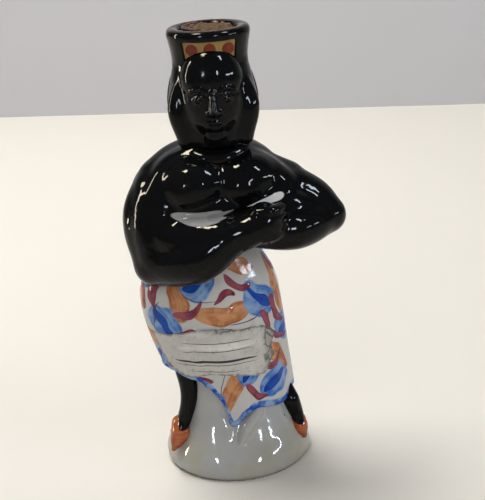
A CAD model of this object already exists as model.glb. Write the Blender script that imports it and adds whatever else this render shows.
# %% [markdown]
# # A porcelain miniature, dressed over its castings
#
# The bottle is a small standing figure: white foot, painted wrap, black body with folded arms,
# a headdress that holds the cork, and a paper label. The frame brings the plain castings in at
# their true place. Each cell below takes one piece, says how the real one was made, and models it.

# %% Load the frame
import math

import bpy
import numpy as np
from mathutils import Matrix, Vector


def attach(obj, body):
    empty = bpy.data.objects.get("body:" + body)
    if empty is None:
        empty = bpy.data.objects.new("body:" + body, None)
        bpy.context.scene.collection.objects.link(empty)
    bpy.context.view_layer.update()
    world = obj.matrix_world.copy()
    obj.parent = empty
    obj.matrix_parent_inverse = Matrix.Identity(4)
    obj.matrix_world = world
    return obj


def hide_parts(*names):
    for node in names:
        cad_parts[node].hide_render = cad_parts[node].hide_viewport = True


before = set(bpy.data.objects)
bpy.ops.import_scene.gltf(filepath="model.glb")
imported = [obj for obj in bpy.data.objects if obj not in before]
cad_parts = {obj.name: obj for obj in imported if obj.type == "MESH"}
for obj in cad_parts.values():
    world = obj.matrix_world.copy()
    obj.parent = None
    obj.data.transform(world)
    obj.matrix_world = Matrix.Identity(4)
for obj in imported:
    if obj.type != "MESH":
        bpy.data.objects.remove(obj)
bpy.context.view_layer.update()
MM = 0.001
print("castings:", ", ".join(sorted(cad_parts)))

# %% [markdown]
# ## Camera, floor and light
#
# The camera stands where the photographer stood: a little above the figure, looking down, and
# rolled by a few degrees, so the figure leans to the left. A black glaze shows whatever lamps it
# mirrors. So three big soft lamps light the colours and aren't mirrored, and a few small lamps are
# only mirrored: they draw the crisp, broken highlights of a glaze. The room is pale to the camera, a
# little dimmer where a glaze mirrors it, and gives hardly any light of its own.

# %% Camera
CAMERA_PLACE = (0, -0.324, 0.176)
PAN, TILT, ROLL = -0.88, 70.33, -4  # degrees
LENS, SENSOR = 90.58, 36
camera_data = bpy.data.cameras.new("photographer")
camera = bpy.data.objects.new("photographer", camera_data)
bpy.context.scene.collection.objects.link(camera)
camera_data.lens = LENS
camera_data.sensor_width = SENSOR
camera_data.clip_start = 0.01
stand = Matrix.Translation(CAMERA_PLACE)
aim = Matrix.Rotation(math.radians(PAN), 4, "Z") @ Matrix.Rotation(math.radians(TILT), 4, "X")
camera.matrix_world = stand @ aim @ Matrix.Rotation(math.radians(ROLL), 4, "Z")
bpy.context.scene.camera = camera
bpy.context.scene.view_settings.view_transform = "Standard"
print("camera at", [round(v, 3) for v in camera.matrix_world.translation])


# %% Small helpers for the object mode
def deselect():
    bpy.ops.object.select_all(action="DESELECT")


def pick(obj):
    """Only this object is selected and active."""
    deselect()
    obj.select_set(True)
    bpy.context.view_layer.objects.active = obj


def mode(name):
    bpy.ops.object.mode_set(mode=name)


def freeze():
    """Applies the active object's place, turn and scale to its mesh."""
    bpy.ops.object.transform_apply(location=True, rotation=True, scale=True)


def named(obj, name):
    obj.name = name
    obj.data.name = name
    return obj


def apply(obj, kind, **settings):
    """Adds a modifier, sets it and applies it."""
    pick(obj)
    modifier = obj.modifiers.new(kind.lower(), kind)
    for key, value in settings.items():
        setattr(modifier, key, value)
    bpy.ops.object.modifier_apply(modifier=modifier.name)
    return obj


def join(name, parts):
    deselect()
    for part in parts:
        part.select_set(True)
    bpy.context.view_layer.objects.active = parts[0]
    if len(parts) > 1:
        bpy.ops.object.join()
    return named(parts[0], name)


def select_faces(obj, test):
    """Goes to edit mode with just the faces selected that pass the test."""
    pick(obj)
    mode("EDIT")
    bpy.ops.mesh.select_mode(type="FACE")
    bpy.ops.mesh.select_all(action="DESELECT")
    mode("OBJECT")
    for polygon in obj.data.polygons:
        polygon.select = test(polygon)
    mode("EDIT")


def measure(obj):
    size = [round(v / MM, 1) for v in obj.dimensions]
    print(f"{obj.name}: {len(obj.data.polygons)} faces, {size} mm")


# %% Floor and wall
def plain_material(name, color, roughness):
    material = bpy.data.materials.new(name)
    material.use_nodes = True
    shader = material.node_tree.nodes["Principled BSDF"]
    shader.inputs["Base Color"].default_value = (*color, 1)
    shader.inputs["Roughness"].default_value = roughness
    shader.inputs["Specular IOR Level"].default_value = 0
    return material


def sheet(name, place, turn, material):
    deselect()
    bpy.ops.mesh.primitive_plane_add(size=4, location=place, rotation=turn)
    made = named(bpy.context.object, name)
    made.data.materials.append(material)
    return made


COUNTER = plain_material("pale_counter", (0.75, 0.72, 0.665), 0.4)
PLASTER = plain_material("pale_wall", (0.62, 0.62, 0.65), 0.6)
WALL_TURN = (math.pi / 2, 0, math.radians(-11))
floor = sheet("floor", (0, 1, 0), (0, 0, 0), COUNTER)
wall = sheet("wall", (0, 0.42, 1), WALL_TURN, PLASTER)
print("stage:", floor.name, wall.name)


# %% Lamps
def lamp(name, place, aim_at, size, power, color):
    data = bpy.data.lights.new(name, "AREA")
    data.shape = "RECTANGLE"
    data.size, data.size_y = size
    data.energy = power
    data.color = color
    obj = bpy.data.objects.new(name, data)
    bpy.context.scene.collection.objects.link(obj)
    obj.location = place
    obj.rotation_euler = (Vector(aim_at) - Vector(place)).to_track_quat("-Z", "Y").to_euler()
    return obj


CHEST = (0, 0, 0.07)
WARM = (1, 0.9, 0.7)
COOL = (0.78, 0.87, 1)
soft = [
    lamp("soft_back", (-0.2, 0.32, 0.75), (0, 0.25, 0), (0.7, 0.3), 8, (1, 0.98, 0.94)),
    lamp("soft_front", (-0.05, -0.75, 0.75), CHEST, (0.9, 0.7), 2.8, (1, 0.98, 0.96)),
    lamp("soft_right", (0.6, -0.35, 0.35), CHEST, (0.4, 0.4), 1.2, (0.92, 0.96, 1)),
]
for obj in soft:
    obj.visible_glossy = False
gleams = [
    lamp("side_strip", (-0.58, 0.1, 0.2), CHEST, (0.04, 0.46), 2.6, WARM),
    lamp("warm_window", (-0.19, -0.1, 0.64), CHEST, (0.12, 0.14), 4.2, WARM),
    lamp("cool_ceiling", (0.31, -0.2, 0.56), CHEST, (0.06, 0.18), 2.0, COOL),
    lamp("front_left", (-0.24, -0.52, 0.24), CHEST, (0.05, 0.09), 0.8, COOL),
    lamp("front_right", (0.2, -0.56, 0.24), CHEST, (0.05, 0.1), 0.9, COOL),
    lamp("pane_left", (0.49, -0.31, 0.17), CHEST, (0.12, 0.022), 0.5, COOL),
    lamp("pane_right", (0.56, -0.17, 0.17), CHEST, (0.12, 0.022), 0.5, COOL),
]
for obj in gleams:
    obj.visible_diffuse = False
ROOM_LIGHT, ROOM_MIRRORED, ROOM_SEEN = 0.1, 0.22, 0.55
world = bpy.data.worlds.new("room")
bpy.context.scene.world = world
world.use_nodes = True
room = world.node_tree
paths = room.nodes.new("ShaderNodeLightPath").outputs
mirrored = room.nodes.new("ShaderNodeMapRange")
mirrored.inputs["To Min"].default_value = ROOM_LIGHT
mirrored.inputs["To Max"].default_value = ROOM_MIRRORED
room.links.new(paths["Is Glossy Ray"], mirrored.inputs["Value"])
seen = room.nodes.new("ShaderNodeMapRange")
seen.inputs["To Max"].default_value = ROOM_SEEN
room.links.new(paths["Is Camera Ray"], seen.inputs["Value"])
room.links.new(mirrored.outputs[0], seen.inputs["To Min"])
room.nodes["Background"].inputs["Color"].default_value = (0.9, 0.94, 1, 1)
room.links.new(seen.outputs[0], room.nodes["Background"].inputs["Strength"])

# %% [markdown]
# ## Modelling like a potter
#
# Real figures like this are built up in clay, cast, and drowned in glaze, so nothing on them is
# sharp. The helpers below work the same way: take the plain castings and soft balls and limbs of
# clay, press them together, and knead the lot. The voxel remesh is the kneading (it fuses all that
# overlaps into one skin) and the smooth modifier is the wet sponge.


# %% Clay helpers
def clay_copy(name, *nodes):
    """A copy of castings, with their loose triangles merged into closed skins."""
    copies = []
    for node in nodes:
        copy = bpy.data.objects.new(node + "_copy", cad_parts[node].data.copy())
        bpy.context.scene.collection.objects.link(copy)
        copy.data.materials.clear()
        pick(copy)
        mode("EDIT")
        bpy.ops.mesh.select_all(action="SELECT")
        bpy.ops.mesh.remove_doubles(threshold=1e-6)
        mode("OBJECT")
        copies.append(copy)
    return join(name, copies)


def pressed(centre, scale, turn=(0, 0, 0)):
    """The shape just added, pressed to its size, turned in degrees and put in place, in mm."""
    made = bpy.context.object
    made.scale = [s * MM for s in scale]
    made.rotation_euler = [math.radians(t) for t in turn]
    made.location = [c * MM for c in centre]
    freeze()
    return made


def ball(centre, radii, turn=(0, 0, 0)):
    """A ball of clay with three radii."""
    deselect()
    bpy.ops.mesh.primitive_uv_sphere_add(segments=40, ring_count=24, radius=1)
    return pressed(centre, radii, turn)


def disc(centre, radii, height):
    """A flat plug of clay."""
    deselect()
    bpy.ops.mesh.primitive_cylinder_add(vertices=64, radius=1, depth=1)
    return pressed(centre, (*radii, height))


def limb(points, radii, domed=True):
    """A rod of clay along a smooth curve through points in mm, with its own girth at each."""
    deselect()
    bpy.ops.curve.primitive_bezier_curve_add()
    rod = bpy.context.object
    mode("EDIT")
    bpy.ops.curve.select_all(action="SELECT")
    bpy.ops.curve.subdivide(number_cuts=len(points) - 2)
    mode("OBJECT")
    for knot, point, radius in zip(rod.data.splines[0].bezier_points, points, radii):
        knot.handle_left_type = knot.handle_right_type = "AUTO"
        knot.co = Vector(point) * MM
        knot.radius = radius
    rod.data.bevel_depth = MM
    rod.data.bevel_resolution = 8
    rod.data.resolution_u = 14
    rod.data.use_fill_caps = True
    pick(rod)
    bpy.ops.object.convert(target="MESH")
    rod = bpy.context.object
    ends = [ball(points[i], (radii[i],) * 3) for i in (0, -1)] if domed else []
    return join("limb", [rod, *ends])


def knead(obj, voxel, rounds):
    """Fuses all that overlaps into one skin of even quads, then sponges it smooth."""
    apply(obj, "REMESH", mode="VOXEL", voxel_size=voxel * MM, use_smooth_shade=True)
    if rounds:
        apply(obj, "SMOOTH", factor=0.5, iterations=rounds)
    return obj


print("clay helpers ready")

# %% [markdown]
# ## Foot and mound
#
# The figure stands on a hollow white mound that spreads into a round foot. The casting has it at
# the right size, with flats from its mould. A plug closes its top, so that kneading fills it, and
# the sponge takes the flats off. Two soft rolls under the corner of the wrap make the fold that the
# mound shows there. The underside is pressed flat again at the end.

# %% Mound
UNDER_CORNER = [(6.0, -13.2, 17.5), (2.6, -14.9, 13.2), (0.2, -16.6, 8.6)]
BESIDE_CORNER = [(-5.5, -11.5, 19), (-3.2, -13.6, 13), (-2.6, -16.2, 8.6)]
mound = clay_copy("mound_plain", "foot_mound")
mound = join("mound_plain", [mound, disc((-2.4, 0, 33), (13.4, 11.6), 1.8)])
knead(mound, 0.4, 45)
rolls = [limb(UNDER_CORNER, [1.6, 1.7, 0.6]), limb(BESIDE_CORNER, [1.4, 1.6, 0.6])]
mound = knead(join("white_mound", [mound, *rolls]), 0.4, 16)
FLAT_UNDER = 0.35 * MM
underside = min(v.co.z for v in mound.data.vertices)
for v in mound.data.vertices:
    if v.co.z < underside + FLAT_UNDER:
        v.co.z = 0
measure(mound)

# %% [markdown]
# ## Wrap skirt
#
# A cloth is wound round the hips and ends in a hanging corner in front. The casting gives its
# outline and its hem, which is found by going down the cloth until it steps in. A roll of clay laid
# along the hem gives the edge its round lip, and thinner rolls across the hips and down the sides
# become the folds of the cloth. The paths are given as an angle from the front and a height, and a
# ray finds the cloth there.

# %% Finding the cloth
skirt = clay_copy("skirt_plain", "wrap_skirt")
skirt = join("skirt_plain", [skirt, disc((-4, 0, 63.2), (10.6, 9.8), 1.6)])
AXIS_X = -2.5  # middle of the hips
FROM_OUTSIDE = 0.06  # where the rays start, in metres
SEARCH_TOP, SEARCH_STEP = 36.0, 0.25  # in mm
EDGE_STEP, SWELL_STEP = 0.35, 0.02  # change of radius, in mm, that ends the cloth
RIGHT_SIDE = (-158, -22)  # degrees


def on_cloth(degrees, height, sink=0.0):
    """The point of the cloth at this angle from the front and height, in mm, sunk below its face."""
    out = Vector((math.sin(math.radians(degrees)), -math.cos(math.radians(degrees)), 0))
    start = Vector((AXIS_X, 0, height)) * MM + out * FROM_OUTSIDE
    hit, place, _, _ = skirt.ray_cast(start, -out)
    return tuple((place - out * sink * MM) / MM) if hit else None


def reach(degrees, height):
    """How far from the middle the cloth is, in mm; nothing below its end."""
    place = on_cloth(degrees, height)
    return math.hypot(place[0] - AXIS_X, place[1]) if place else 0.0


def hem_height(degrees):
    """Going down the cloth: the height at which it steps in or, at the right, swells with the mound."""
    height, step = SEARCH_TOP, 0.0
    at_right = RIGHT_SIDE[0] < degrees < RIGHT_SIDE[1]
    while -EDGE_STEP < step < (SWELL_STEP if at_right else EDGE_STEP):
        height -= SEARCH_STEP
        step = reach(degrees, height - SEARCH_STEP) - reach(degrees, height)
    return height


print("hem in front:", round(hem_height(8), 1), "at the right:", round(hem_height(-60), 1))

# %% Hem and folds
HEM_DROP, HEM_ROLL, HEM_SINK = 1.4, 0.62, 0.55
RIGHT_DROP = 0.4  # share of the drop at the right, where the cloth lies on the mound
RIGHT_HEM = (-150, -22)  # degrees
hem = {a: hem_height(a) for a in range(-180, 181, 3)}
hem_rolls = []
for drop in (0, HEM_DROP / 2, HEM_DROP):
    path = []
    for a, z in hem.items():
        fall = drop * RIGHT_DROP if RIGHT_HEM[0] < a < RIGHT_HEM[1] else drop
        path.append(Vector(on_cloth(a, z + HEM_SINK, HEM_SINK)) - Vector((0, 0, fall)))
    hem_rolls.append(limb(path, [HEM_ROLL] * len(path), domed=False))
SWAGS = [
    [(-70, 54), (-34, 48.5), (4, 47.5), (34, 52)],
    [(-80, 49), (-44, 43.5), (-8, 43), (22, 47)],
    [(-62, 46), (-40, 38), (-24, 33), (-14, 29)],
    [(30, 60), (38, 50), (36, 40), (30, 30)],
]
FLUTES = [
    [(100, 55), (98, 40), (101, 23)],
    [(128, 56), (131, 40), (128, 23)],
    [(156, 55), (154, 40), (157, 23)],
    [(186, 56), (189, 40), (184, 23)],
    [(214, 55), (211, 42), (214, 26)],
    [(242, 56), (245, 44), (240, 30)],
]


def fold(path, radii, sink):
    return limb([on_cloth(a, z, sink) for a, z in path], radii)


swags = [fold(path, [0.7, 1.3, 1.3, 0.6], 0.75) for path in SWAGS]
flutes = [fold(path, [0.5, 1.2, 1.4], 0.8) for path in FLUTES]
knead(skirt, 0.35, 18)
skirt = knead(join("wrap_cloth", [skirt, *hem_rolls, *swags, *flutes]), 0.36, 9)
above_hem = skirt.data.attributes.new("above_hem", "FLOAT", "POINT")
for v, slot in zip(skirt.data.vertices, above_hem.data):
    x, y, z = v.co / MM
    turn = math.degrees(math.atan2(x - AXIS_X, -y))
    slot.value = z - float(np.interp(turn, list(hem), list(hem.values()))) + HEM_DROP
measure(skirt)

# %% [markdown]
# ## Torso and folded arms
#
# The arms were pressed apart and stuck to the torso with slip, and the glaze then ran over the
# joints, so the eye reads one black skin. The torso is kneaded alone first, because its flats are
# wide and need a long sponging that would wipe out the hand.

# %% Torso
torso = clay_copy("torso_plain", "torso")
torso = join("torso_plain", [torso, disc((-4, 0, 65), (10.4, 9.6), 1.8), disc((0, 0.8, 90), (7, 7), 1.8)])
knead(torso, 0.4, 60)
measure(torso)

# %% Arms, shoulders and bust
right_arm = [
    limb([(-16.8, 0, 79.8), (-19.7, -3.2, 73.0), (-18.1, -7.2, 61.2)], [6.6, 6.9, 6.5]),
    limb([(-16.4, -2.4, 80.0), (-17.7, -6.2, 73.0), (-16.8, -8.8, 64.0)], [6.6, 6.9, 6.6]),
    limb([(-18.1, -7.2, 61.0), (-7, -16.0, 64.3), (3, -19, 70.7)], [6.6, 6.6, 4.6]),
]
left_arm = [
    limb([(9.4, 0, 81), (18.6, -3.2, 77.6), (24.2, -5.4, 74.6), (28, -7, 71)], [6.4, 6.5, 6.2, 5.2]),
    limb([(27.6, -7, 70.9), (18.7, -14.1, 70.1), (8, -14.5, 70.6)], [5.2, 5.7, 4.8]),
    limb([(25.5, -7.5, 71.8), (19, -10, 74), (13, -10.5, 75)], [4.8, 5.6, 5.0]),
]
shoulders = [
    limb([(-6.5, 0.6, 89), (-11.6, 0.2, 86), (-15.6, -0.6, 82)], [4.4, 5.4, 6.3]),
    limb([(6, 0.6, 86.4), (11, 0.2, 82.9), (17.5, -1.6, 79.0)], [4.3, 5.4, 6.2]),
    limb([(-12.2, -4.2, 80.6), (-13.4, -7, 75), (-13, -9, 69)], [6.8, 7.0, 6.4]),
    limb([(-5.5, -3.4, 88.0), (-11.2, -4.4, 84.2), (-14.6, -5.6, 78.5)], [5.0, 6.2, 6.8]),
    limb([(5.0, -3.2, 87.0), (10.6, -5.0, 83.2), (15.5, -6.6, 79.2)], [4.8, 5.8, 5.8]),
]
bust = [ball((-6.4, -6.9, 82.0), (10.2, 8.4, 7.8)), ball((7.0, -6.6, 82.6), (9.4, 8.0, 7.2))]
hollow = [limb([(-10, -9, 76), (-3, -10, 75.4), (6, -10, 76.6), (12, -10, 77.6)], [4.4, 4.6, 4.4, 4.2])]
FOREARM_TOP = [(-13.4, -7.2, 75.4), (-13.6, -10, 69.8), (-5.8, -15.2, 70.0), (3, -18, 72.2)]
forearm = [limb(FOREARM_TOP, [6.6, 6.4, 5.2, 3.8])]
torso = join("torso_plain", [torso, *right_arm, *left_arm, *shoulders, *bust, *hollow, *forearm])
knead(torso, 0.35, 50)
measure(torso)

# %% Right hand
KNUCKLES = 73.9
FINGERS = [(-3.3, 1.6), (-1.1, 1.8), (1.1, 1.8), (3.2, 1.6)]  # height above the knuckles, girth
hand = [
    limb([(0, -18.4, 69.6), (6, -19.0, 72.0), (11, -18.6, 73.9)], [4.6, 4.8, 4.6]),
    ball((10.8, -18.5, 73.7), (5.0, 4.6, 5.6)),
]
for rise, girth in FINGERS:
    z = KNUCKLES + rise
    path = [(9.0, -20.6, z), (12.8, -20.8, z + 0.3), (15.4, -18.2, z + 0.4)]
    hand.append(limb(path, [girth, girth, girth * 0.85]))
torso = knead(join("torso_and_arms", [torso, *hand]), 0.35, 18)
measure(torso)

# %% [markdown]
# ## Legs and slippers
#
# The legs are half sunk in the mound, as if the figure were stepping out of it. They are rods of
# clay that follow its flank. A slipper is a pointed rod, with the dark foot standing in it.

# %% Legs and slippers
def rod_piece(name, points, radii, voxel):
    piece = knead(named(limb(points, radii), name), voxel, 8)
    measure(piece)
    return piece


right_leg = rod_piece(
    "right_leg_skin",
    [(-13.1, -6.4, 32.5), (-12.6, -8.9, 22.5), (-14.5, -9.0, 14.9), (-15.9, -10.4, 11.6)],
    [3.7, 2.5, 2.0, 1.5],
    0.25,
)
left_leg = rod_piece(
    "left_leg_skin",
    [(13.0, -2.2, 22.0), (15.3, -5.2, 16.6), (16.9, -5.7, 12.2), (17.5, -6.5, 9.6)],
    [2.2, 2.7, 2.0, 1.7],
    0.25,
)
right_shoe = rod_piece(
    "right_slipper",
    [(-15.9, -8.4, 13.4), (-16.0, -9.2, 11.0), (-17.2, -10.2, 8.6), (-18.2, -10.7, 6.6)],
    [2.4, 3.0, 2.0, 0.75],
    0.2,
)
left_shoe = rod_piece(
    "left_slipper",
    [(17.2, -5.5, 10.2), (17.5, -6.0, 8.6), (18.0, -6.4, 7.2), (18.5, -6.7, 6.0)],
    [2.3, 2.5, 2.1, 1.1],
    0.2,
)

# %% [markdown]
# ## Head
#
# The casting gives the size of the head and the hang of the hair. It is sponged until its mould
# marks are gone, and then the face is laid on in small pieces of clay, by the studio rule: eyes at
# half the height, the nose a quarter below, the mouth between nose and chin.

# %% Hair
head = clay_copy("head_plain", "head")
head = join("head_plain", [head, disc((0, 0.8, 92), (7, 7), 1.8), disc((0, 0.8, 111.5), (7.6, 7.6), 1.8)])
knead(head, 0.35, 45)
locks = [
    limb([(s * 7.4, -2.6, 110.6), (s * 9.4, -4.4, 101.8), (s * 7.7, -4.6, 93.4)], [1.5, 2.6, 2.3])
    for s in (-1, 1)
]
HAIR = [(111.4, 8.9, 8.4), (107.5, 10.2, 9.3), (101.8, 11.0, 9.8), (96, 10.2, 9.0), (92, 9.1, 8.0)]


def strand(degrees):
    a = math.radians(degrees)
    points = [(rx * math.sin(a), 0.8 - ry * math.cos(a), z) for z, rx, ry in HAIR]
    return limb(points, [1.0, 1.3, 1.5, 1.4, 1.1])


strands = [strand(a) for a in range(104, 257, 19)]
neck_roll = limb(
    [(-8.8, -0.6, 91.8), (-5.8, -6.6, 89.6), (0, -8.2, 88.6), (5.8, -6.6, 89.6), (8.8, -0.6, 91.8)],
    [0.9, 1.7, 1.8, 1.7, 0.9],
)
forehead = ball((0, -4.9, 109), (8.1, 6.8, 9.4))
measure(head)

# %% Face
FACE_MIDDLE, FACE_HEIGHT, FACE_WIDTH, FACE_DEPTH, FACE_FRONT = 104.3, 11.6, 8.2, 7.4, 4.2


def on_face(x, up, out):
    """A point on the oval of the face; up runs from -1 at the chin to 1 at the top."""
    flat = math.sqrt(1 - (x / FACE_WIDTH) ** 2 - up**2)
    return (x, -FACE_FRONT - FACE_DEPTH * flat - out, FACE_MIDDLE + up * FACE_HEIGHT)


nose = [on_face(0, 0.22, 0), on_face(0, 0, 0.3), on_face(0, -0.2, 0.85)]
upper_lip = [on_face(-2.5, -0.5, -0.1), on_face(0, -0.455, 0.5), on_face(2.5, -0.5, -0.1)]
lower_lip = [on_face(-2.1, -0.54, -0.1), on_face(0, -0.59, 0.5), on_face(2.1, -0.54, -0.1)]
face = [
    limb(nose, [0.85, 0.85, 1.1]),
    limb(upper_lip, [0.25, 0.6, 0.25]),
    limb(lower_lip, [0.3, 0.72, 0.3]),
    ball(on_face(0, -0.82, -0.7), (2.6, 1.9, 1.9)),
    ball(on_face(0, -0.5, -1.0), (3.2, 1.0, 2.3)),
]
for s in (-1, 1):
    lid = [on_face(s * 1.5, 0.08, -0.1), on_face(s * 3.2, 0.16, 0.15), on_face(s * 5, 0.05, -0.1)]
    brow = [on_face(s * 1.3, 0.22, 0), on_face(s * 3.4, 0.3, 0.4), on_face(s * 5.8, 0.23, 0.3)]
    face += [
        ball(on_face(s * 3.2, 0.06, -0.55), (1.75, 1.0, 1.0)),
        ball(on_face(s * 1.3, -0.24, 0.1), (0.85, 0.9, 0.75)),
        limb(lid, [0.25, 0.36, 0.25]),
        limb(brow, [0.5, 0.6, 0.4]),
    ]
head = knead(join("head_and_hair", [head, *locks, *strands, neck_roll, forehead, *face]), 0.25, 7)
measure(head)

# %% [markdown]
# ## Neck of the bottle
#
# The bore runs through the head into the body. A tapered cutter, turned like a drill, is taken away
# from the head with the Boolean modifier. Its wall is bare porcelain, so its faces get a slot of
# their own.

# %% Bore
BORE_Y, NECK_RADIUS, MOUTH_RADIUS = 0.8, 5.4, 7.4
CORK_BOTTOM, RIM = 106.0, 122.0
DRILL_LENGTH, DRILL_MIDDLE = 13, 99.51
deselect()
bpy.ops.mesh.primitive_cylinder_add(
    vertices=72,
    radius=NECK_RADIUS * MM,
    depth=DRILL_LENGTH * MM,
    location=(0, BORE_Y * MM, DRILL_MIDDLE * MM),
)
drill = bpy.context.object
freeze()
select_faces(drill, lambda polygon: polygon.normal.z > 0.9)
bpy.ops.mesh.extrude_region_move(TRANSFORM_OT_translate={"value": (0, 0, (RIM - CORK_BOTTOM) * MM)})
swell = MOUTH_RADIUS / NECK_RADIUS
bpy.ops.transform.resize(value=(swell, swell, 1), center_override=(0, BORE_Y * MM, RIM * MM))
mode("OBJECT")
apply(head, "BOOLEAN", object=drill, operation="DIFFERENCE", solver="MANIFOLD")
bpy.data.objects.remove(drill)
measure(head)

# %% [markdown]
# ## Headdress
#
# A pillbox with a rolled rim, which is also the mouth of the bottle. It is thrown on the wheel: one
# ring is drawn up, out and over the rim and down the bore, and the two ends are bridged. The window
# for the front band is inset into its wall, and the floor of the window becomes the band itself.

# %% Headdress
HAT_SIDES = 128
WALL_PROFILE = [  # height, half width and half depth of each ring, in mm
    (108.6, 10.7, 10.0), (110.2, 10.35, 9.7), (111.6, 10.05, 9.45), (112.8, 9.93, 9.38),
    (114.0, 9.92, 9.42), (115.4, 10.05, 9.55), (117.2, 10.35, 9.85), (119.4, 10.8, 10.3),
    (120.2, 10.95, 10.45), (121.1, 10.9, 10.4), (121.75, 10.45, 9.95), (122.0, 9.7, 9.2),
    (121.95, 8.7, 8.4), (121.7, 7.9, 7.8), (121.0, 7.42, 7.42), (118, 7.0, 7.0), (108.6, 5.78, 5.78),
]
first_height, first_width, first_depth = WALL_PROFILE[0]
deselect()
bpy.ops.mesh.primitive_circle_add(
    vertices=HAT_SIDES, radius=MM, location=(0, BORE_Y * MM, first_height * MM)
)
hat = bpy.context.object
hat.scale = (first_width, first_depth, 1)
freeze()
mode("EDIT")
bpy.ops.mesh.select_mode(type="VERT")
bpy.ops.mesh.select_all(action="SELECT")
for (z0, x0, y0), (z1, x1, y1) in zip(WALL_PROFILE, WALL_PROFILE[1:]):
    bpy.ops.mesh.extrude_edges_move(TRANSFORM_OT_translate={"value": (0, 0, (z1 - z0) * MM)})
    bpy.ops.transform.resize(value=(x1 / x0, y1 / y0, 1), center_override=(0, BORE_Y * MM, z1 * MM))
bpy.ops.mesh.select_all(action="DESELECT")
bpy.ops.mesh.select_non_manifold()
bpy.ops.mesh.bridge_edge_loops()
bpy.ops.mesh.select_all(action="SELECT")
bpy.ops.mesh.normals_make_consistent(inside=False)
mode("OBJECT")
named(hat, "headdress_shell")
measure(hat)

# %% Window and front band
WINDOW_TURN = 43.0
WINDOW_LOW, WINDOW_HIGH = 114.0, 119.4
OUTER_WALL = 8.5  # the bore's wall lies within this radius


def in_window(polygon):
    x, y, z = (v / MM for v in polygon.center)
    turn = math.degrees(math.atan2(x, BORE_Y - y))
    outside = math.hypot(x, y - BORE_Y) > OUTER_WALL
    return outside and abs(turn) < WINDOW_TURN and WINDOW_LOW < z < WINDOW_HIGH


select_faces(hat, in_window)
bpy.ops.mesh.inset(thickness=0.12 * MM, depth=-0.12 * MM)
bpy.ops.mesh.inset(thickness=0.1 * MM, depth=-0.6 * MM)
bpy.ops.mesh.duplicate()
bpy.ops.mesh.separate(type="SELECTED")
mode("OBJECT")
band = [o for o in bpy.context.selected_objects if o is not hat][0]
named(band, "front_band")
apply(hat, "SUBSURF", levels=2, render_levels=2)
apply(band, "SUBSURF", levels=1, render_levels=1)
apply(band, "SOLIDIFY", thickness=0.25 * MM, offset=1)
for piece in (hat, band):
    pick(piece)
    bpy.ops.object.shade_smooth_by_angle(angle=math.radians(50))
    measure(piece)

# %% [markdown]
# ## Cork and seal
#
# The cork is tapered and was broken off level with the rim. Its top is a crust of crumbs, heaped a
# little in the middle, and a brittle rim of old sealing wax still clings to one side.

# %% Cork
rng = np.random.default_rng(7)
CORK_LOW_RADIUS, CORK_HIGH_RADIUS = 5.05, 6.95
CORK_TOP, CORK_LENGTH = 121.0, 15
HEAP, HEAP_RADIUS, CRUMB_RADIUS = 0.8, 6.6, 6.3
deselect()
bpy.ops.mesh.primitive_cone_add(
    vertices=64,
    radius1=CORK_LOW_RADIUS * MM,
    radius2=CORK_HIGH_RADIUS * MM,
    depth=CORK_LENGTH * MM,
    location=(0, BORE_Y * MM, (CORK_TOP - CORK_LENGTH / 2) * MM),
)
cork = bpy.context.object
freeze()
crumbs = [ball((0, BORE_Y, CORK_TOP), (HEAP_RADIUS, HEAP_RADIUS, HEAP))]
for _ in range(110):
    r = CRUMB_RADIUS * math.sqrt(rng.random())
    a = rng.random() * 2 * math.pi
    size = rng.uniform(0.3, 0.8)
    height = CORK_TOP + HEAP * math.sqrt(1 - (r / HEAP_RADIUS) ** 2)
    height += min(rng.uniform(-0.4, 0.4), 0.3 * size)
    place = (r * math.cos(a), BORE_Y + r * math.sin(a), height)
    radii = (size, size * rng.uniform(0.5, 1), size * rng.uniform(0.4, 0.8))
    crumbs.append(ball(place, radii, (0, 0, rng.uniform(0, 180))))
cork = knead(join("broken_cork", [cork, *crumbs]), 0.2, 2)
measure(cork)

# %% Seal
seal = clay_copy("wax_seal", "seal_remnant")
FLAKE_LEVEL = 121.75
flakes = []
for degrees in range(118, 246, 9):
    a = math.radians(degrees)
    r = rng.uniform(5.9, 6.6)
    size = rng.uniform(0.5, 0.9)
    place = (r * math.cos(a), BORE_Y + r * math.sin(a), FLAKE_LEVEL + rng.uniform(-0.1, 0.2))
    flakes.append(ball(place, (size, size * 0.7, 0.4), (0, 0, degrees)))
seal = knead(join("wax_seal", [seal, *flakes]), 0.16, 3)
measure(seal)

# %% [markdown]
# ## Paper label
#
# A small printed sheet, cut to a scalloped shape and glued over the front of the wrap. The outline
# is a smooth loop through a few points, and a little waviness makes its edge ragged. Bisect cuts it
# into a fine grid, so that it can bend, and Shrinkwrap presses it against the cloth.

# %% Label outline
LABEL_EDGE = [  # across and up in mm, clockwise from the top left corner
    (-20.4, 41.2), (-16.6, 41.9), (-12.9, 42.9), (-9.4, 43.7), (-4.8, 44.0), (-1.4, 43.7), (1.2, 42.9),
    (3.6, 42.7), (6.2, 42.9), (8.9, 42.3), (11.3, 40.5), (11.6, 38.2), (10.9, 36.4), (11.0, 34.9),
    (11.5, 33.3), (10.3, 31.9), (9.7, 30.2), (8.4, 28.6), (5.0, 28.8), (1.2, 29.7), (-2.4, 30.1),
    (-5.8, 30.2), (-9.1, 29.6), (-11.6, 29.3), (-14.2, 29.8), (-16.4, 30.8), (-17.5, 32.0), (-18.2, 33.4),
    (-19.3, 35.2), (-19.9, 37.6), (-20.9, 39.6),
]


def smooth_loop(points, count=5):
    """A closed curve through the points, with more points between them."""
    curve = []
    for i in range(len(points)):
        a, b, c, d = (np.array(points[(i + k) % len(points)]) for k in (-1, 0, 1, 2))
        for t in (j / count for j in range(count)):
            cubic = 3 * b - 3 * c + d - a
            curve.append(b + t / 2 * (c - a + t * (2 * a - 5 * b + 4 * c - d + t * cubic)))
    return curve


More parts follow.
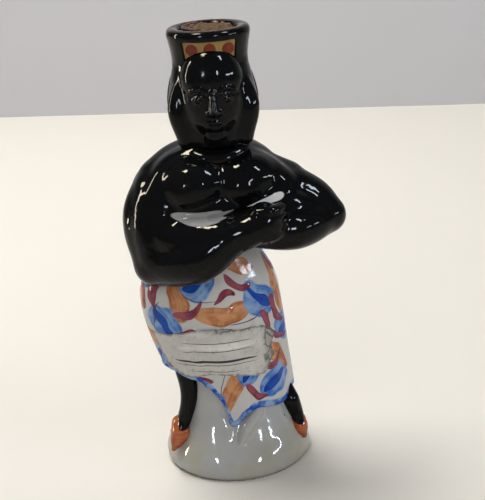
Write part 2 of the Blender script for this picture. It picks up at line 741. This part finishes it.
outline = smooth_loop(LABEL_EDGE)
left, low = np.min(outline, axis=0)
right, high = np.max(outline, axis=0)
deselect()
bpy.ops.mesh.primitive_circle_add(vertices=len(outline), radius=1, fill_type="NGON")
label = named(bpy.context.object, "paper_sheet")
for v, (x, z) in zip(label.data.vertices, outline):
    torn = 0.1 * math.sin(7.3 * x) * math.sin(5.1 * z + 1) + 0.06 * math.sin(17 * x + 11 * z)
    v.co = Vector((x + torn, -24, z + torn)) * MM
pick(label)
mode("EDIT")
GRID = 0.35
for x in np.arange(left + GRID, right, GRID):
    bpy.ops.mesh.select_all(action="SELECT")
    bpy.ops.mesh.bisect(plane_co=(x * MM, 0, 0), plane_no=(1, 0, 0))
for z in np.arange(low + GRID, high, GRID):
    bpy.ops.mesh.select_all(action="SELECT")
    bpy.ops.mesh.bisect(plane_co=(0, 0, z * MM), plane_no=(0, 0, 1))
bpy.ops.mesh.select_all(action="SELECT")
bpy.ops.mesh.normals_make_consistent(inside=False)
mode("OBJECT")
apply(
    label,
    "SHRINKWRAP",
    target=skirt,
    wrap_method="PROJECT",
    use_project_x=False,
    use_project_y=True,
    use_project_z=False,
    use_positive_direction=True,
    use_negative_direction=True,
    offset=0.22 * MM,
)
measure(label)

# %% Crumpled paper
CRUSHED_TOP, CRUSHED_HALF, CRUSHED_RIGHT = 3.8, 11, 4.5  # how far the crumpling reaches, in mm
MEASURES = ("crumpled", "from_edge")
for name in MEASURES:
    label.data.attributes.new(name, "FLOAT", "POINT")
crumpled, from_edge = (label.data.attributes[name] for name in MEASURES)  # once both are there
creasing = label.vertex_groups.new(name="creasing")
rim = np.array(smooth_loop(LABEL_EDGE, 20))
for v, slot, edge in zip(label.data.vertices, crumpled.data, from_edge.data):
    x, _, z = v.co / MM
    edge.value = float(np.min(np.hypot(rim[:, 0] - x, rim[:, 1] - z)))
    at_top = (1 - (high - z) / CRUSHED_TOP) * max(0, 1 - ((x - 1) / CRUSHED_HALF) ** 2)
    at_right = 1 - (right - 0.6 - x) / CRUSHED_RIGHT
    slot.value = min(1, max(0, at_top, at_right))
    creasing.add([v.index], 0.25 + 0.75 * slot.value, "REPLACE")
clouds = bpy.data.textures.new("crumple", "CLOUDS")
clouds.noise_scale = 1.8 * MM
clouds.noise_depth = 2
apply(
    label,
    "DISPLACE",
    texture=clouds,
    texture_coords="LOCAL",
    direction="Y",
    strength=-0.5 * MM,
    mid_level=0.35,
    vertex_group="creasing",
)
if label.data.polygons[0].normal.y > 0:
    label.data.flip_normals()
apply(label, "SOLIDIFY", thickness=0.16 * MM, offset=-1)
pick(label)
bpy.ops.object.shade_smooth_by_angle(angle=math.radians(40))
measure(label)

# %% [markdown]
# ## Finishes
#
# Everything ceramic on the figure was dipped or painted, and then fired under a glossy coat. A
# finish could be one colour and one roughness, but then it looks like plastic. Here each is a small
# tree of nodes. The helpers below keep those trees short to write: add a node, do a sum, mix two
# colours. All patterns are laid out in mm, on the object's own coordinates.


# %% Node helpers
def node(tree, kind, inputs=None, **settings):
    """Adds a node. An input takes a plain value or the output of another node."""
    made = tree.nodes.new("ShaderNode" + kind)
    for key, value in settings.items():
        setattr(made, key, value)
    for key, value in (inputs or {}).items():
        if isinstance(value, bpy.types.NodeSocket):
            tree.links.new(value, made.inputs[key])
        else:
            made.inputs[key].default_value = value
    return made


def calc(tree, operation, *values):
    return node(tree, "Math", dict(enumerate(values)), operation=operation).outputs[0]


def rgba(color):
    return color if isinstance(color, bpy.types.NodeSocket) else (*color, 1)


def mixed(tree, share, first, second, kind="MIX"):
    """The first colour where share is 0, the second where it is 1."""
    inputs = {0: share, 6: rgba(first), 7: rgba(second)}
    return node(tree, "Mix", inputs, data_type="RGBA", blend_type=kind).outputs[2]


def soft_step(tree, value, low, high, to_low=0.0, to_high=1.0):
    """Runs smoothly from to_low at low to to_high at high."""
    limits = {"Value": value, "From Min": low, "From Max": high, "To Min": to_low, "To Max": to_high}
    return node(tree, "MapRange", limits, interpolation_type="SMOOTHSTEP", clamp=False).outputs[0]


def noise(tree, place, scale, detail=2.0, roughness=0.5):
    """A cloudy value from 0 to 1; scale counts clouds per mm."""
    settings = {"Vector": place, "Scale": scale, "Detail": detail, "Roughness": roughness}
    return node(tree, "TexNoise", settings).outputs[0]


def new_group(name, inputs, outputs):
    """An empty node group with named sockets, and the sockets to wire up inside it."""
    tree = bpy.data.node_groups.new(name, "ShaderNodeTree")
    for socket, kind in inputs.items():
        tree.interface.new_socket(socket, in_out="INPUT", socket_type="NodeSocket" + kind)
    for socket, kind in outputs.items():
        tree.interface.new_socket(socket, in_out="OUTPUT", socket_type="NodeSocket" + kind)
    return tree, tree.nodes.new("NodeGroupInput").outputs, tree.nodes.new("NodeGroupOutput").inputs


def new_material(name):
    """A material, its tree, its shader, and the place in mm that all patterns are laid out on."""
    material = bpy.data.materials.new(name)
    material.use_nodes = True
    tree = material.node_tree
    coords = node(tree, "TexCoord").outputs["Object"]
    place = node(tree, "VectorMath", {0: coords, "Scale": 1 / MM}, operation="SCALE").outputs[0]
    return material, tree, tree.nodes["Principled BSDF"], place


def surface(tree, shader, color, specular=0.5, roughness=None):
    """Wires the colour, sets how strongly the surface mirrors, and wires a roughness if given."""
    tree.links.new(color, shader.inputs["Base Color"])
    shader.inputs["Specular IOR Level"].default_value = specular
    if roughness is not None:
        tree.links.new(roughness, shader.inputs["Roughness"])


def add_relief(tree, shader, height, depth):
    """Bumps a surface; depth in mm is what a height of 1 stands for."""
    bump = node(tree, "Bump", {"Height": height, "Distance": depth * MM})
    tree.links.new(bump.outputs[0], shader.inputs["Normal"])


print("node helpers ready")

# %% [markdown]
# ### What every glaze does
#
# A glaze gathers in slow waves as it melts, and that is what breaks a lamp's reflection into dashes.
# Handling leaves a faint film, duller in clouds. Both belong to every glaze here, so they are one
# group, placed in each material with its own wave length.

# %% Glaze waves and film
glaze_skin, given, result = new_group(
    "glaze_skin",
    {"Place": "Vector", "Wave Length": "Float", "Gloss": "Float"},
    {"Height": "Float", "Roughness": "Float"},
)
waves = node(glaze_skin, "VectorMath", {0: given["Place"]}, operation="SCALE")
glaze_skin.links.new(calc(glaze_skin, "DIVIDE", 1.0, given["Wave Length"]), waves.inputs["Scale"])
slow = noise(glaze_skin, waves.outputs[0], 1.0, 1.0)
quick = noise(glaze_skin, waves.outputs[0], 3.4, 0.0)
glaze_skin.links.new(calc(glaze_skin, "MULTIPLY_ADD", quick, 0.16, slow), result["Height"])
film = soft_step(glaze_skin, noise(glaze_skin, given["Place"], 0.16, 4.0, 0.6), 0.45, 0.75, 0.0, 0.09)
glaze_skin.links.new(calc(glaze_skin, "ADD", given["Gloss"], film), result["Roughness"])


def add_glaze(tree, shader, place, wave_length, gloss, depth):
    """Wires the glaze's waves and film to a shader; depth is the height of the waves in mm."""
    settings = {"Place": place, "Wave Length": wave_length, "Gloss": gloss}
    skin = node(tree, "Group", settings, node_tree=glaze_skin)
    add_relief(tree, shader, skin.outputs["Height"], depth)
    tree.links.new(skin.outputs["Roughness"], shader.inputs["Roughness"])


print("group:", glaze_skin.name)

# %% [markdown]
# ### Brush work
#
# The wrap, the band and the label all carry marks made with one touch of a loaded brush: a rounded
# dab, bent a little, fat at one end, streaky along its length and darker where the paint ran to its
# edge. One group makes such a mark from its middle, half length, half width, turn, bend and taper.

# %% Brush dab
SIZES = ("Middle Across", "Middle Up", "Half Length", "Half Width", "Turn", "Bend", "Taper", "Bluntness")
brush_dab, given, result = new_group(
    "brush_dab",
    dict.fromkeys(("Across", "Up", "Wetness") + SIZES, "Float"),
    {"Mask": "Float", "Load": "Float"},
)


def brush(operation, *values):
    return calc(brush_dab, operation, *values)


du = brush("SUBTRACT", given["Across"], given["Middle Across"])
dv = brush("SUBTRACT", given["Up"], given["Middle Up"])
cosine = brush("COSINE", given["Turn"])
sine = brush("SINE", given["Turn"])
length = brush("MULTIPLY_ADD", du, cosine, brush("MULTIPLY", dv, sine))
side = brush("SUBTRACT", brush("MULTIPLY", dv, cosine), brush("MULTIPLY", du, sine))
along = brush("DIVIDE", length, given["Half Length"])
bow = brush("MULTIPLY", brush("MULTIPLY", along, along), given["Bend"])
lane = brush("SUBTRACT", side, bow)
fatness = brush("MULTIPLY_ADD", given["Taper"], along, 1.0)
across = brush("DIVIDE", lane, brush("MULTIPLY", given["Half Width"], fatness))
tips = brush("POWER", brush("ABSOLUTE", along), given["Bluntness"])
spread = brush("MULTIPLY_ADD", across, across, tips)
brush_dab.links.new(soft_step(brush_dab, spread, 0.85, 1.15, 1.0, 0.0), result["Mask"])
hair = brush("MULTIPLY_ADD", given["Turn"], 9.0, brush("MULTIPLY_ADD", along, 0.3, lane))
hair_noise = {"W": hair, "Scale": 1.1, "Detail": 2.0}
hairs = node(brush_dab, "TexNoise", hair_noise, noise_dimensions="1D").outputs[0]
streaks = soft_step(brush_dab, hairs, 0.3, 0.7, 0.0, 0.45)
pooled = soft_step(brush_dab, spread, 0.35, 1.0, 0.0, 0.3)
load = brush("MULTIPLY_ADD", given["Wetness"], 0.6, brush("ADD", streaks, pooled))
load = brush("MULTIPLY_ADD", along, -0.25, load)
brush_dab.links.new(soft_step(brush_dab, load, 0.0, 1.3), result["Load"])


def canvas(tree, across, up):
    """Where the brush is: across and up in mm, and how wet the paint is there."""
    flat = node(tree, "CombineXYZ", {0: across, 1: up}).outputs[0]
    return {"Across": across, "Up": up, "Wetness": soft_step(tree, noise(tree, flat, 0.3), 0.35, 0.65)}


def dab(tree, ground, spot, mark, thin, thick, bluntness=3.4):
    """Lays a mark over a colour: thin paint in its middle, thick where the brush was loaded."""
    u, v, half_length, half_width, turn, bend, taper = mark
    sizes = (u, v, half_length, half_width, math.radians(turn), bend, taper, bluntness)
    made = node(tree, "Group", {**spot, **dict(zip(SIZES, sizes))}, node_tree=brush_dab)
    paint = mixed(tree, made.outputs["Load"], thin, thick)
    return mixed(tree, made.outputs["Mask"], ground, paint)


print("group:", brush_dab.name)

# %% [markdown]
# ### Black glaze
#
# The body was sprayed black and left white where the spray could not get in: under the bust and at
# the crook of the left arm. Those bare places are the same dab, seen from the front. Where the black
# lies thin it turns brown, and the rim is stained brown by what was poured over it.

# %% Black glaze
BARE_PLACES = [  # across and up in mm, half length, half width, turn, bend, taper; front limit; whiteness
    ((-6.4, 75.1, 6.7, 1.2, 0, 1.0, 0.0), -19.2, 0.34),
    ((-0.2, 75.7, 3.6, 0.42, 10, 0.2, -0.5), -19.2, 0.26),
    ((11.6, 78.2, 5.0, 0.66, 13, 0.0, 0.82), -16.0, 0.8),
]
BARE_BACK = -9.0  # no bare place lies further back than this
RIM_STAIN = (0.045, 0.02, 0.011)
black_glaze, tree, shader, place = new_material("black_glaze_finish")
axes = node(tree, "SeparateXYZ", {0: place}).outputs
front = canvas(tree, axes[0], axes[2])
thin_black = soft_step(tree, noise(tree, place, 0.12, 3.0), 0.55, 0.8)
color = mixed(tree, thin_black, (0.0038, 0.004, 0.0046), (0.0066, 0.0046, 0.004))
for mark, front_end, white in BARE_PLACES:
    bared = dab(tree, color, front, mark, (white,) * 3, (white,) * 3)
    forward = soft_step(tree, axes[1], BARE_BACK, BARE_BACK - 1)
    not_too_far = soft_step(tree, axes[1], front_end, front_end + 0.2)
    color = mixed(tree, calc(tree, "MULTIPLY", forward, not_too_far), color, bared)
stain = calc(tree, "MULTIPLY_ADD", noise(tree, place, 0.5, 4.0), 1.4, axes[2])
color = mixed(tree, soft_step(tree, stain, RIM + 0.2, RIM + 0.9), color, RIM_STAIN)
surface(tree, shader, color, 0.13)
add_glaze(tree, shader, place, 3.6, 0.05, 0.15)
print("material:", black_glaze.name)

# %% [markdown]
# ### White porcelain
#
# The foot is bare white under a clear glaze, a little grey, warmer where the glaze pooled at the
# bottom, with a few dark specks that burnt in during firing and grime that settled low down. The
# bore never got any glaze: it is matt and stained by what ran out over it.

# %% White porcelain
white_porcelain, tree, shader, place = new_material("white_porcelain_finish")
height = node(tree, "SeparateXYZ", {0: place}).outputs[2]
cloudy = noise(tree, place, 0.09, 3.0)
color = mixed(tree, cloudy, (0.4, 0.41, 0.42), (0.48, 0.48, 0.465))
patchy = soft_step(tree, noise(tree, place, 0.11, 2.0), 0.35, 0.65)
pool = calc(tree, "MULTIPLY", soft_step(tree, height, 16.0, 3.0), patchy)
color = mixed(tree, calc(tree, "MULTIPLY", pool, 0.75), color, (0.4, 0.38, 0.29))
cells = node(tree, "TexVoronoi", {"Vector": place, "Scale": 0.16, "Randomness": 1.0}).outputs
rare = calc(tree, "LESS_THAN", node(tree, "SeparateColor", {0: cells["Color"]}).outputs[0], 0.3)
speck = calc(tree, "MULTIPLY", rare, soft_step(tree, cells["Distance"], 0.07, 0.03))
color = mixed(tree, calc(tree, "MULTIPLY", speck, 0.8), color, (0.06, 0.05, 0.04))
grime = calc(tree, "MULTIPLY", soft_step(tree, height, 1.6, 0.2), 0.5)
surface(tree, shader, mixed(tree, grime, color, (0.2, 0.18, 0.14)), 0.35)
add_glaze(tree, shader, place, 6.0, 0.05, 0.12)
print("material:", white_porcelain.name)

# %% Bare bore
bare_bore, tree, shader, place = new_material("bare_bore")
stain = soft_step(tree, noise(tree, place, 0.35, 5.0, 0.65), 0.4, 0.7)
color = mixed(tree, stain, (0.45, 0.42, 0.36), (0.2, 0.13, 0.07))
grain = noise(tree, place, 3.0, 2.0)
surface(tree, shader, color, roughness=soft_step(tree, grain, 0.2, 0.8, 0.55, 0.8))
add_relief(tree, shader, grain, 0.05)
print("material:", bare_bore.name)

# %% [markdown]
# ### Painted wrap
#
# Before the clear glaze the white wrap was painted freehand: broad orange ribbons, blue leaves with a
# dark midrib, small crimson commas and a few thin ink lines. The cloth is a sleeve, so the pattern
# is laid out on the sleeve: across runs round the hips towards the figure's right, up is the height.
# It repeats once, on the back. A slow noise shifts the place a little first, so that no edge is
# straight. The hem has a blue border.

# %% Layout of the wrap
SLEEVE = 17.0  # radius at which the way round is measured
HALF_ROUND = math.pi * SLEEVE
LEAVES = [  # across, up, half length, half width, turn, bend, taper
    (-13.0, 50.0, 6.4, 4.3, 38, 0.9, -0.25), (5.5, 57.5, 6.2, 4.5, -38, 0.8, 0.3),
    (15.5, 44.0, 6.2, 4.1, 66, -0.9, 0.3), (-24.0, 40.0, 6.0, 3.9, -30, 0.7, 0.2),
    (23.5, 31.0, 6.4, 4.1, 112, 0.9, -0.3), (4.6, 18.6, 6.0, 4.1, 78, 0.6, 0.35),
    (24.5, 57.0, 5.4, 3.7, 20, 0.6, 0.3), (-8.5, 32.0, 5.8, 3.9, 130, 0.7, 0.2),
    (-15.5, 25.4, 5.6, 3.8, 152, 0.8, 0.2), (1.5, 36.2, 5.8, 3.9, 28, 0.7, 0.25),
]
RIBBONS = [
    (-2.8, 47.2, 10.5, 2.3, -6, 3.0, 0.15), (12.6, 54.0, 8.5, 2.5, 64, -2.0, -0.2),
    (-22.0, 50.0, 9.0, 2.4, 84, 1.8, 0.2), (21.5, 38.5, 8.0, 2.4, 20, 2.2, -0.2),
    (-3.0, 26.6, 9.5, 2.5, -52, -1.6, 0.15), (13.5, 22.5, 8.5, 2.3, 14, 1.8, 0.2),
    (-17.0, 33.0, 8.0, 2.3, 40, -1.8, 0.2), (25.5, 48.0, 7.0, 2.3, -60, 1.6, 0.2),
    (-8.0, 60.0, 7.0, 2.2, 24, 1.4, 0.2),
]
COMMAS = [
    (-6.6, 54.6, 4.6, 1.15, 20, 1.7, 0.3), (-1.6, 52.6, 3.6, 1.0, -16, -1.3, -0.3),
    (-19.0, 44.4, 4.8, 1.25, 64, 1.7, 0.3), (-15.6, 42.8, 3.8, 1.0, 84, -1.4, 0.3),
    (8.2, 48.4, 4.4, 1.15, -34, 1.6, 0.3), (9.6, 43.0, 3.6, 1.0, -4, -1.4, -0.3),
    (19.0, 53.6, 5.0, 1.25, 100, 1.8, 0.3), (22.2, 51.0, 4.0, 1.0, 78, -1.6, 0.3),
    (8.6, 28.4, 4.4, 1.15, 24, 1.6, 0.3), (12.6, 27.4, 3.6, 1.0, 60, -1.4, 0.3),
    (17.6, 32.6, 4.4, 1.15, 122, 1.6, 0.3), (-25.0, 56.0, 4.0, 1.0, 40, 1.4, 0.3),
    (-20.0, 37.0, 4.0, 1.0, 10, 1.4, 0.3), (-8.6, 23.4, 4.0, 1.0, 48, 1.4, 0.3),
    (-16.2, 30.6, 4.2, 1.1, -20, 1.5, 0.3), (8.6, 36.0, 4.0, 1.05, 70, 1.4, 0.3),
]
INK_LINES = [
    (-11.0, 45.0, 8.0, 0.15, -12, 1.4, 0.5), (5.4, 51.6, 5.5, 0.13, 10, 1.0, 0.5),
    (19.0, 42.0, 9.0, 0.14, 96, 0.9, 0.5), (1.6, 25.5, 6.0, 0.13, 104, 0.8, 0.5),
]
ORANGE_THIN, ORANGE_THICK = (0.6, 0.3, 0.15), (0.36, 0.1, 0.03)
BLUE_THIN, BLUE_THICK = (0.26, 0.4, 0.62), (0.035, 0.15, 0.5)
RIB_LENGTH, RIB_WIDTH = 0.86, 0.3
RIB_THIN, RIB_THICK = (0.012, 0.08, 0.45), (0.003, 0.03, 0.28)
CRIMSON_THIN, CRIMSON_THICK = (0.33, 0.085, 0.12), (0.16, 0.024, 0.05)
LINE_INK = (0.05, 0.05, 0.08)
UNSTEADY = 2.4  # mm
print(len(LEAVES), "leaves,", len(RIBBONS), "ribbons,", len(COMMAS), "commas")


# %% Painted wrap
def all_round(marks):
    """The marks, and those near the end of the repeat once more at its other end."""
    for u, *rest in marks:
        yield (u, *rest)
        half_length = rest[1]
        if abs(u) + half_length + 2 > HALF_ROUND / 2:
            yield (u - math.copysign(HALF_ROUND, u), *rest)


painted_porcelain, tree, shader, place = new_material("painted_porcelain_finish")
axes = node(tree, "SeparateXYZ", {0: place}).outputs
aside = calc(tree, "SUBTRACT", axes[0], AXIS_X)
turn = calc(tree, "ARCTAN2", aside, calc(tree, "MULTIPLY", axes[1], -1.0))
around = calc(tree, "WRAP", calc(tree, "MULTIPLY", turn, -SLEEVE), HALF_ROUND / 2, -HALF_ROUND / 2)
shaky = node(tree, "TexNoise", {"Vector": place, "Scale": 0.22, "Detail": 0.0}).outputs[1]
shift = node(tree, "SeparateXYZ", {0: shaky}).outputs
unsteady_across = calc(tree, "MULTIPLY_ADD", calc(tree, "SUBTRACT", shift[0], 0.5), UNSTEADY, around)
unsteady_up = calc(tree, "MULTIPLY_ADD", calc(tree, "SUBTRACT", shift[1], 0.5), UNSTEADY, axes[2])
brushed = canvas(tree, unsteady_across, unsteady_up)
color = mixed(tree, noise(tree, place, 0.1, 3.0), (0.52, 0.52, 0.515), (0.62, 0.61, 0.6))
for mark in all_round(RIBBONS):
    color = dab(tree, color, brushed, mark, ORANGE_THIN, ORANGE_THICK)
for mark in all_round(LEAVES):
    color = dab(tree, color, brushed, mark, BLUE_THIN, BLUE_THICK)
    u, v, half_length, half_width, lean, bend, taper = mark
    rib = (u, v, half_length * RIB_LENGTH, half_width * RIB_WIDTH, lean, bend, taper)
    color = dab(tree, color, brushed, rib, RIB_THIN, RIB_THICK)
for mark in all_round(COMMAS):
    color = dab(tree, color, brushed, mark, CRIMSON_THIN, CRIMSON_THICK)
for mark in all_round(INK_LINES):
    color = dab(tree, color, brushed, mark, LINE_INK, LINE_INK)
above_hem = node(tree, "Attribute", attribute_name="above_hem").outputs["Fac"]
ragged = calc(tree, "MULTIPLY_ADD", noise(tree, place, 0.4, 2.0), 1.6, above_hem)
border = soft_step(tree, ragged, 3.2, 2.7)
washed = mixed(tree, soft_step(tree, noise(tree, place, 0.3, 2.0), 0.4, 0.6), BLUE_THIN, RIB_THIN)
surface(tree, shader, mixed(tree, border, color, washed), 0.14)
add_glaze(tree, shader, place, 5.0, 0.06, 0.1)
print("material:", painted_porcelain.name)

# %% [markdown]
# ### Slippers and band
#
# The slippers are one wash of orange, thin on top and thick where it ran down. The band is yellow
# with three round brick-red dabs.

# %% Orange and yellow
orange_glaze, tree, shader, place = new_material("orange_glaze_finish")
streaky = node(tree, "VectorMath", {0: place, 1: (0.5, 0.5, 1.6)}, operation="MULTIPLY").outputs[0]
wash = soft_step(tree, noise(tree, streaky, 0.5, 3.0), 0.3, 0.7)
surface(tree, shader, mixed(tree, wash, (0.46, 0.13, 0.04), (0.3, 0.05, 0.012)))
add_glaze(tree, shader, place, 2.4, 0.08, 0.05)

BRICK_THIN, BRICK_THICK = (0.2, 0.03, 0.01), (0.11, 0.013, 0.006)
DOTS = [(-4.5, 117.2), (0.1, 117.3), (4.8, 117.1)]
DOT_RADIUS = 1.55
yellow_glaze, tree, shader, place = new_material("yellow_glaze_finish")
axes = node(tree, "SeparateXYZ", {0: place}).outputs
front = canvas(tree, axes[0], axes[2])
color = mixed(tree, noise(tree, place, 0.5, 3.0), (0.26, 0.16, 0.045), (0.36, 0.24, 0.075))
for x, z in DOTS:
    dot = (x, z, DOT_RADIUS, DOT_RADIUS, 20, 0.05, 0.05)
    color = dab(tree, color, front, dot, BRICK_THIN, BRICK_THICK, bluntness=2.0)
surface(tree, shader, color, 0.2)
add_glaze(tree, shader, place, 2.6, 0.07, 0.05)
print("materials:", orange_glaze.name, yellow_glaze.name)

# %% [markdown]
# ### Paper, cork and wax
#
# The label is old coated paper: greyed, foxed in spots, creased, with a pale strip and a few plain
# rules printed across it. Cork is brown bark with dark pores and stains. The wax is dark and dull,
# and paler with dust where it cracked.

# %% Label paper
RULES = [  # across, up, half length, half width
    (-4.0, 39.6, 9.6, 0.1),
    (-4.0, 37.2, 9.6, 0.1),
    (-4.4, 34.2, 11.2, 0.34),
    (-4.4, 33.1, 11.2, 0.1),
    (-4.2, 31.2, 6.0, 0.1),
]
STRIP = (-4.0, 38.4, 10.4, 1.0, 0, 0, 0)
INK = (0.035, 0.033, 0.035)
label_paper, tree, shader, place = new_material("label_paper_finish")
axes = node(tree, "SeparateXYZ", {0: place}).outputs
front = canvas(tree, axes[0], axes[2])
color = mixed(tree, noise(tree, place, 0.3, 5.0, 0.62), (0.42, 0.405, 0.37), (0.72, 0.705, 0.68))
color = dab(tree, color, front, STRIP, (0.76, 0.745, 0.72), (0.62, 0.605, 0.58))
for rule in RULES:
    color = dab(tree, color, front, (*rule, 0, 0, 0), INK, INK)
foxing = soft_step(tree, noise(tree, place, 0.8, 3.0, 0.7), 0.58, 0.72)
color = mixed(tree, calc(tree, "MULTIPLY", foxing, 0.55), color, (0.22, 0.16, 0.1))
bent = node(tree, "TexNoise", {"Vector": place, "Scale": 0.35, "Detail": 2.0}).outputs[1]
pulled = {0: bent, 1: (3.0, 3.0, 3.0), 2: place}
creased = node(tree, "VectorMath", pulled, operation="MULTIPLY_ADD").outputs[0]
web = {"Vector": creased, "Scale": 0.34}
crease = node(tree, "TexVoronoi", web, feature="DISTANCE_TO_EDGE").outputs[0]
worn = node(tree, "Attribute", attribute_name="crumpled").outputs["Fac"]
wear = soft_step(tree, calc(tree, "MULTIPLY_ADD", noise(tree, place, 0.6, 3.0), 0.7, worn), 0.65, 1.05)
line = calc(tree, "MULTIPLY", soft_step(tree, crease, 0.12, 0.0), wear)
color = mixed(tree, calc(tree, "MULTIPLY", wear, 0.5), color, (0.2, 0.18, 0.16))
edge = node(tree, "Attribute", attribute_name="from_edge").outputs["Fac"]
dirty = calc(tree, "MULTIPLY_ADD", noise(tree, place, 0.9, 3.0), -1.6, edge)
color = mixed(tree, soft_step(tree, dirty, -0.1, -0.9, 0.0, 0.8), color, (0.13, 0.115, 0.1))
color = mixed(tree, calc(tree, "MULTIPLY", line, 0.75), color, (0.1, 0.09, 0.08))
matt = soft_step(tree, noise(tree, place, 1.2, 3.0), 0.3, 0.7, 0.42, 0.65)
surface(tree, shader, color, 0.25, matt)
fibres = calc(tree, "MULTIPLY", noise(tree, place, 2.5, 3.0), 0.35)
add_relief(tree, shader, calc(tree, "MULTIPLY_ADD", line, -1.0, fibres), 0.26)
print("material:", label_paper.name)

# %% Cork and wax
cork_bark, tree, shader, place = new_material("cork_bark_finish")
bark = mixed(tree, noise(tree, place, 0.9, 5.0, 0.65), (0.075, 0.042, 0.024), (0.23, 0.14, 0.08))
pores = node(tree, "TexVoronoi", {"Vector": place, "Scale": 1.3}).outputs["Distance"]
bark = mixed(tree, soft_step(tree, pores, 0.3, 0.12), bark, (0.05, 0.025, 0.015))
stains = soft_step(tree, noise(tree, place, 0.32, 3.0), 0.5, 0.68)
dry = soft_step(tree, pores, 0.1, 0.6, 0.95, 0.8)
surface(tree, shader, mixed(tree, stains, bark, (0.09, 0.04, 0.025)), 0.15, dry)
add_relief(tree, shader, noise(tree, place, 2.0, 5.0, 0.7), 0.3)

seal_wax, tree, shader, place = new_material("seal_wax_finish")
dusty = soft_step(tree, noise(tree, place, 1.1, 4.0, 0.65), 0.5, 0.75)
color = mixed(tree, dusty, (0.06, 0.016, 0.01), (0.15, 0.06, 0.04))
surface(tree, shader, color, 0.2, soft_step(tree, dusty, 0.0, 1.0, 0.32, 0.7))
add_relief(tree, shader, noise(tree, place, 1.6, 4.0), 0.15)
print("materials:", cork_bark.name, seal_wax.name)

# %% [markdown]
# ## Dressing the castings
#
# Each piece takes its finish, rides on the body it belongs to and hides the castings it stands for.
# The bore's faces, inside the head and the mouth, get the bare finish as a second slot.

# %% Riding
dressed = [  # piece, finish, body, castings that it stands for
    (mound, white_porcelain, "bottle", ["foot_mound"]),
    (skirt, painted_porcelain, "bottle", ["wrap_skirt"]),
    (torso, black_glaze, "bottle", ["torso", "right_arm", "left_arm"]),
    (right_leg, black_glaze, "bottle", ["right_leg"]),
    (left_leg, black_glaze, "bottle", ["left_leg"]),
    (right_shoe, orange_glaze, "bottle", ["right_shoe"]),
    (left_shoe, orange_glaze, "bottle", ["left_shoe"]),
    (head, black_glaze, "bottle", ["head"]),
    (hat, black_glaze, "bottle", ["headdress"]),
    (band, yellow_glaze, "bottle", ["diadem"]),
    (label, label_paper, "bottle", ["paper_label"]),
    (cork, cork_bark, "stopper", ["cork_stopper"]),
    (seal, seal_wax, "stopper", ["seal_remnant"]),
]
for piece, finish, body, castings in dressed:
    piece.data.materials.clear()
    piece.data.materials.append(finish)
    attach(piece, body)
    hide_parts(*castings)
BARE_BELOW = RIM - 0.9  # the glaze runs over the rim down to here
for piece in (head, hat):
    piece.data.materials.append(bare_bore)
    for polygon in piece.data.polygons:
        x, y, z = (v / MM for v in polygon.center)
        inward = polygon.normal.x * x + polygon.normal.y * (y - BORE_Y) < 0
        in_bore = math.hypot(x, y - BORE_Y) < MOUTH_RADIUS and z < BARE_BELOW
        polygon.material_index = int(inward and in_bore)
print("dressed", len(dressed), "pieces")
